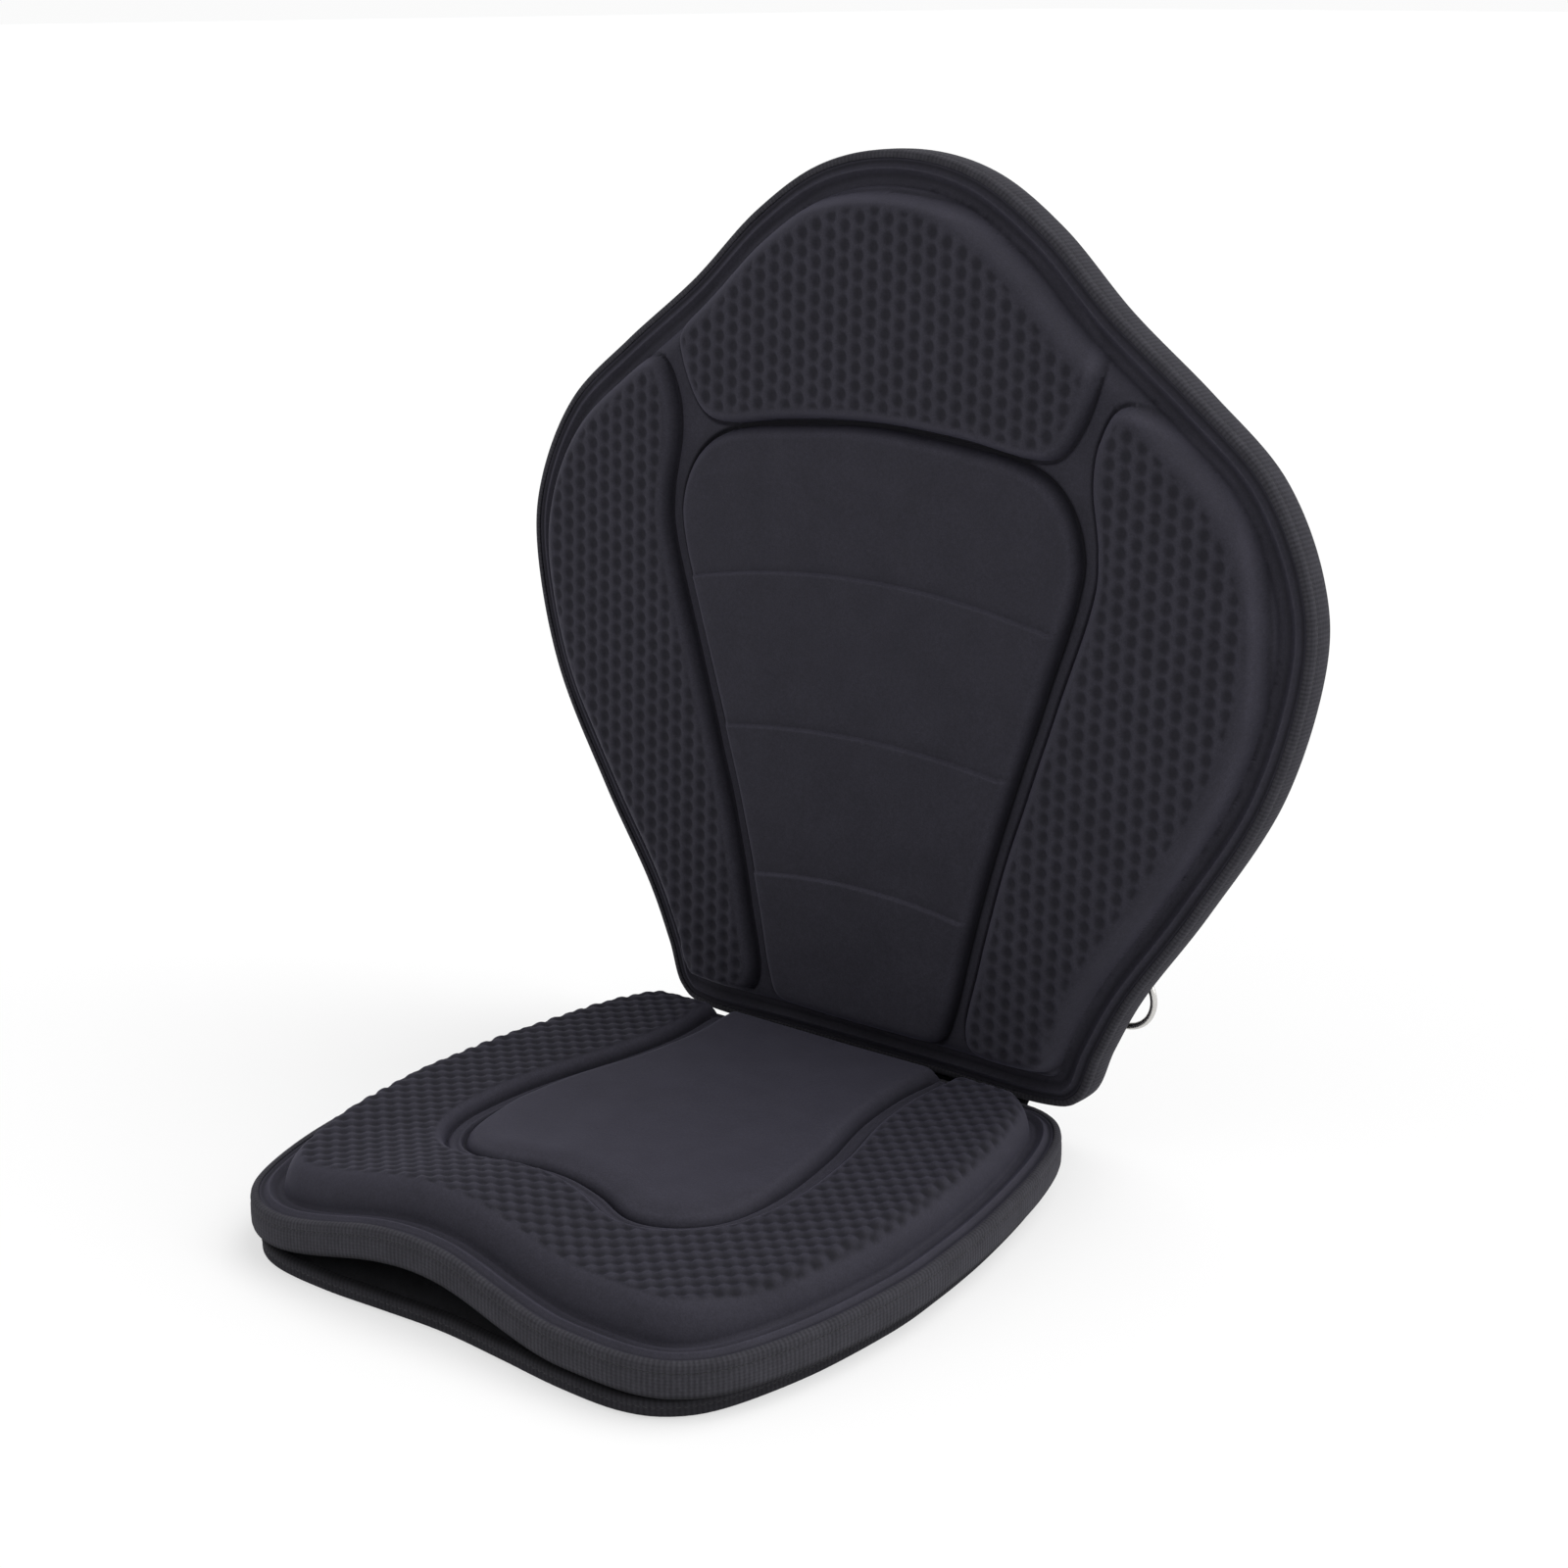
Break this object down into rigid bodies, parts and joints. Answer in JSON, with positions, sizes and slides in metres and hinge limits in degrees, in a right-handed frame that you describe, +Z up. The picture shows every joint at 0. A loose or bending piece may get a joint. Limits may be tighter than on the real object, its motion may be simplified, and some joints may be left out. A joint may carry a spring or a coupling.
{
  "type": "kayak seat",
  "caption": "Padded kayak seat with a moulded seat pad, a shield-shaped moulded backrest on a cloth hinge, taped edges and stowed side straps.",
  "frame": {"origin": "centre of the seat's underside, on the floor", "axes": "+Z up, -Y to the front where the legs go, +X to the right side of the picture's nearer edge"},
  "size_m": [0.4674, 0.3568, 0.4836],
  "materials": {
    "pad_fabric": "knitted cloth laminated on moulded foam, matt with a soft sheen",
    "edge_tape": "ribbed grosgrain tape",
    "lining_cloth": "plain woven cloth",
    "grip_cloth": "cloth with small rubber dots",
    "rear_fabric": "coarse plain woven cloth",
    "stiffener_plastic": "plain sheet",
    "strap_webbing": "woven webbing",
    "strap_metal": "nickel plated, satin"
  },
  "bodies": {
    "seat": {"seat_grip_sheet": "grip_cloth", "seat_base_panel": "lining_cloth", "seat_base_binding": "edge_tape", "seat_pad_lining": "lining_cloth", "seat_pad_shell": "pad_fabric", "seat_pad_binding": "edge_tape", "hinge_cloth": "lining_cloth"},
    "backrest": {"backrest_shell": "pad_fabric", "backrest_binding": "edge_tape", "backrest_stiffener": "stiffener_plastic", "backrest_rear_panel": "rear_fabric", "hinge_seam_tape": "edge_tape", "strap_patch_right": "rear_fabric", "strap_right": "strap_webbing", "strap_slider_right": "strap_metal", "strap_ring_right": "strap_metal", "strap_patch_left": "rear_fabric", "strap_left": "strap_webbing", "strap_slider_left": "strap_metal", "strap_ring_left": "strap_metal"}
  },
  "joints": [
    {"name": "backrest_fold", "type": "hinge", "parent": "seat", "child": "backrest", "pos_m": [0, 0.1487, 0.0444], "axis": [1, 0, 0], "range_deg": [-20, 82]}
  ]
}
